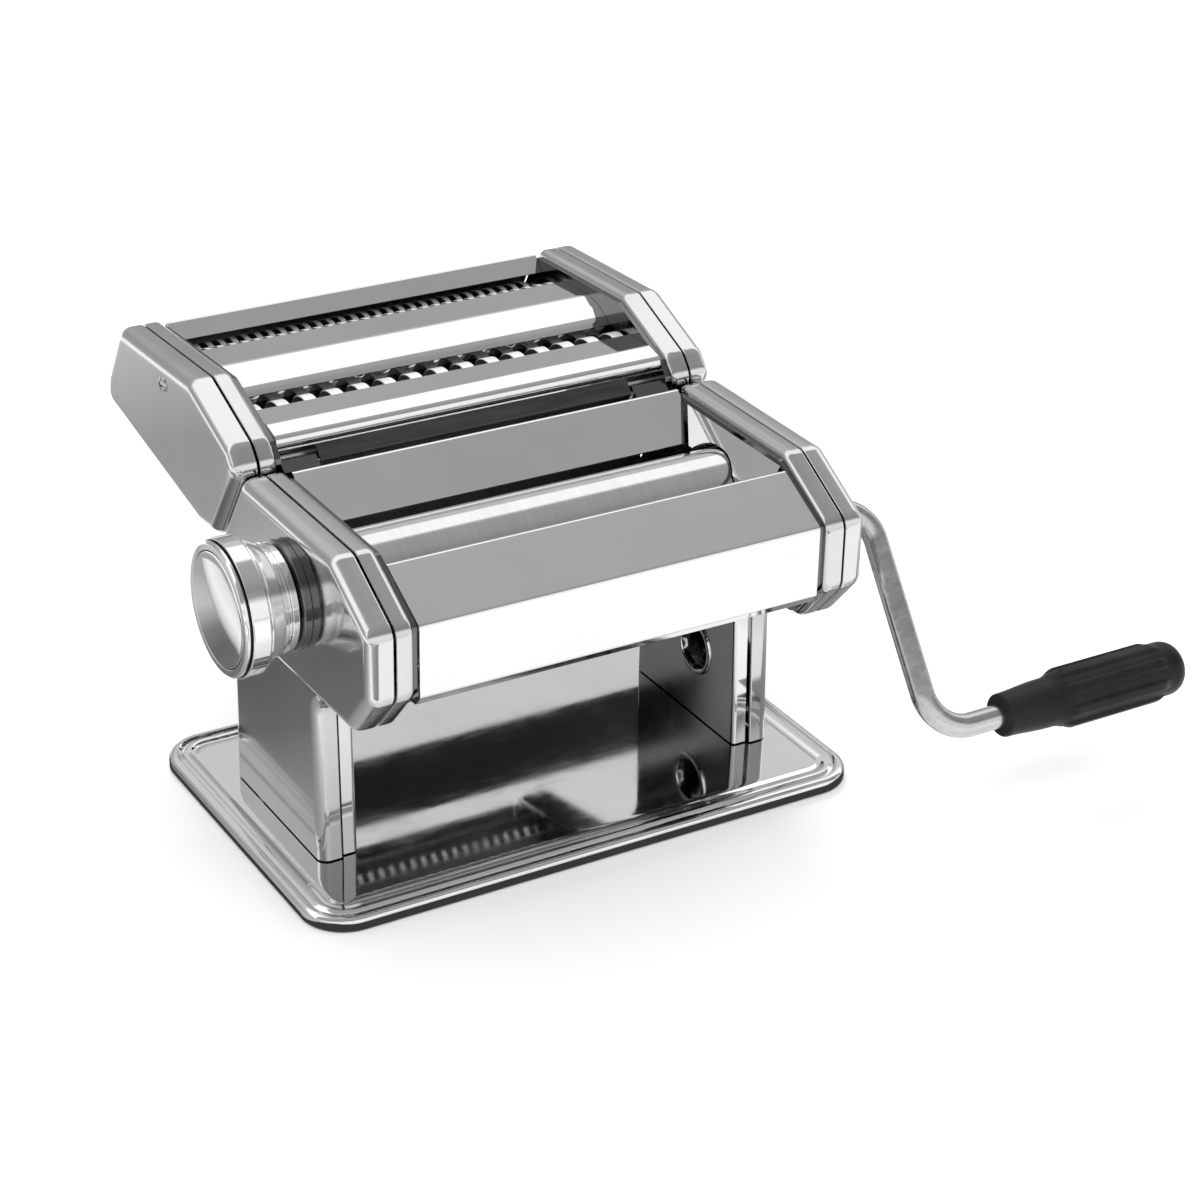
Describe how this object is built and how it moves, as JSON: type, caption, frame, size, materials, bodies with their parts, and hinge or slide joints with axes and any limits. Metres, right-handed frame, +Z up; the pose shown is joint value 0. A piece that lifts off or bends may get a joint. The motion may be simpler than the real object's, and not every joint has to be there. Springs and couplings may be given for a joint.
{
  "type": "pasta roller machine",
  "caption": "Hand-cranked steel pasta roller on a wide base, with a thickness knob, a side crank and a lift-off head of fine and wide cutting rollers.",
  "frame": {"origin": "on the table under the middle of the base", "axes": "+X along the rollers towards the crank, +Y from the front to the cutter head at the back, +Z up"},
  "size_m": [0.3165, 0.2318, 0.14],
  "materials": {
    "polished_steel": "mirror-polished stainless sheet",
    "plated_steel": "dark polished plated steel plate",
    "fastener_steel": "plated turned steel",
    "gear_steel": "machined steel",
    "roller_steel": "ground and chromed steel",
    "crank_steel": "nickel-plated bent rod",
    "spring_steel": "drawn spring wire",
    "bearing_nylon": "moulded nylon",
    "grip_plastic": "moulded matt black plastic",
    "pad_rubber": "moulded rubber"
  },
  "bodies": {
    "frame": {"base_plate": "polished_steel", "rubber_pad": "pad_rubber", "leg_screws": "fastener_steel", "left_side_frame": "plated_steel", "right_side_frame": "plated_steel", "left_leg_cover": "polished_steel", "right_leg_cover": "polished_steel", "left_body_band": "polished_steel", "right_body_band": "polished_steel", "left_body_cap": "polished_steel", "right_body_cap": "polished_steel", "body_cap_screw": "fastener_steel", "front_panel": "polished_steel", "rear_cover": "polished_steel", "hopper_cheeks": "polished_steel", "tie_rods": "fastener_steel", "tie_rod_screws": "fastener_steel", "roller_scrapers": "gear_steel", "front_roller_bushes": "bearing_nylon", "knob_collar": "polished_steel", "collar_nut": "fastener_steel", "docking_rails": "plated_steel"},
    "drive_roller": {"front_roller": "roller_steel", "drive_gear": "gear_steel"},
    "crank": {"crank_rod": "crank_steel"},
    "grip": {"crank_grip": "grip_plastic"},
    "roller_carriage": {"rear_roller_bushes": "bearing_nylon"},
    "adjustable_roller": {"rear_roller": "roller_steel", "idle_gear": "gear_steel"},
    "gap_adjuster": {"gap_shaft": "fastener_steel", "gap_cam": "gear_steel", "knob_washer": "fastener_steel"},
    "thickness_knob": {"knob_body": "polished_steel", "knob_cap": "polished_steel", "detent_pin": "fastener_steel", "knob_spring": "spring_steel"},
    "cutter_head": {"cutter_left_side_plate": "plated_steel", "cutter_right_side_plate": "plated_steel", "cutter_left_band": "polished_steel", "cutter_right_band": "polished_steel", "cutter_left_cap": "polished_steel", "cutter_right_cap": "polished_steel", "cutter_cap_screws": "fastener_steel", "cutter_back_panel": "polished_steel", "cutter_middle_panel": "polished_steel", "cutter_front_bar": "polished_steel", "cutter_tie_rods": "fastener_steel", "fine_combs": "gear_steel", "wide_combs": "gear_steel", "docking_channels": "plated_steel", "cutter_bushes": "bearing_nylon"},
    "fine_front": {"fine_front_cutter": "roller_steel", "fine_front_gear": "gear_steel"},
    "fine_rear": {"fine_rear_cutter": "roller_steel", "fine_rear_gear": "gear_steel"},
    "wide_front": {"wide_front_cutter": "roller_steel", "wide_front_gear": "gear_steel"},
    "wide_rear": {"wide_rear_cutter": "roller_steel", "wide_rear_gear": "gear_steel"}
  },
  "joints": [
    {"name": "roller_turn", "type": "hinge", "parent": "frame", "child": "drive_roller", "pos_m": [0, -0.0515, 0.097], "axis": [1, 0, 0], "continuous": true},
    {"name": "crank_pull", "type": "slide", "parent": "drive_roller", "child": "crank", "axis": [1, 0, 0], "range_m": [0, 0.03]},
    {"name": "grip_spin", "type": "hinge", "parent": "crank", "child": "grip", "pos_m": [0, -0.09735, 0.0339], "axis": [1, 0, 0], "continuous": true},
    {"name": "roller_gap", "type": "slide", "parent": "frame", "child": "roller_carriage", "axis": [0, 1, 0], "range_m": [0, 0.0025]},
    {"name": "rear_roller_turn", "type": "hinge", "parent": "roller_carriage", "child": "adjustable_roller", "pos_m": [0, -0.021, 0.097], "axis": [1, 0, 0], "continuous": true},
    {"name": "knob_turn", "type": "hinge", "parent": "frame", "child": "gap_adjuster", "pos_m": [0, -0.021, 0.097], "axis": [1, 0, 0], "range_deg": [0, 270]},
    {"name": "knob_pull", "type": "slide", "parent": "gap_adjuster", "child": "thickness_knob", "axis": [-1, 0, 0], "range_m": [0, 0.004], "stiffness_N_per_m": 800, "springref_m": -0.004, "deforming": ["knob_spring"]},
    {"name": "cutter_lift", "type": "slide", "parent": "frame", "child": "cutter_head", "axis": [0, -0.5592, 0.829], "range_m": [0, 0.05]},
    {"name": "fine_cutter_turn", "type": "hinge", "parent": "cutter_head", "child": "fine_front", "pos_m": [0, 0.0905, 0.1218], "axis": [1, 0, 0], "continuous": true},
    {"name": "fine_rear_turn", "type": "hinge", "parent": "cutter_head", "child": "fine_rear", "pos_m": [0, 0.1075, 0.1168], "axis": [1, 0, 0], "continuous": true},
    {"name": "wide_cutter_turn", "type": "hinge", "parent": "cutter_head", "child": "wide_front", "pos_m": [0, 0.047, 0.1185], "axis": [1, 0, 0], "continuous": true},
    {"name": "wide_rear_turn", "type": "hinge", "parent": "cutter_head", "child": "wide_rear", "pos_m": [0, 0.064, 0.1135], "axis": [1, 0, 0], "continuous": true}
  ],
  "couplings": [
    {"joint": "rear_roller_turn", "follows": "roller_turn", "ratio": -1},
    {"joint": "knob_turn", "follows": "roller_gap", "rad_per_m": 1885},
    {"joint": "fine_rear_turn", "follows": "fine_cutter_turn", "ratio": -1},
    {"joint": "wide_rear_turn", "follows": "wide_cutter_turn", "ratio": -1}
  ]
}
